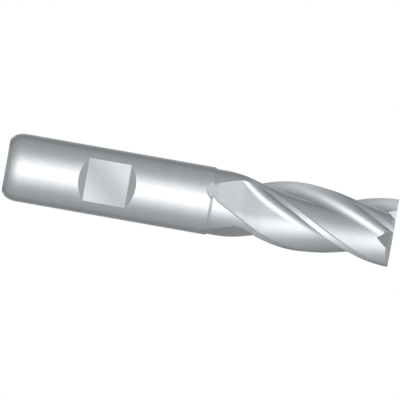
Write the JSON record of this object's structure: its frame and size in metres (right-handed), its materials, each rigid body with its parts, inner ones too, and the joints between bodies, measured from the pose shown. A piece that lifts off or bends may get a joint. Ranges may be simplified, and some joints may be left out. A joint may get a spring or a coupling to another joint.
{
  "type": "end mill",
  "caption": "Square-end milling cutter with right-hand helical flutes, gashed end teeth and a cylindrical shank with a drive flat; it cuts slots, steps and edges in a milling machine.",
  "frame": {"origin": "centre of the shank end face, which the tool stands on", "axes": "+Z along the tool's axis toward the cutting end; the drive flat faces -Y; +X completes the frame"},
  "size_m": [0.016, 0.016, 0.092],
  "materials": {
    "high_speed_steel": "ground, satin"
  },
  "bodies": {
    "root": {"end_mill": "high_speed_steel"}
  },
  "joints": []
}
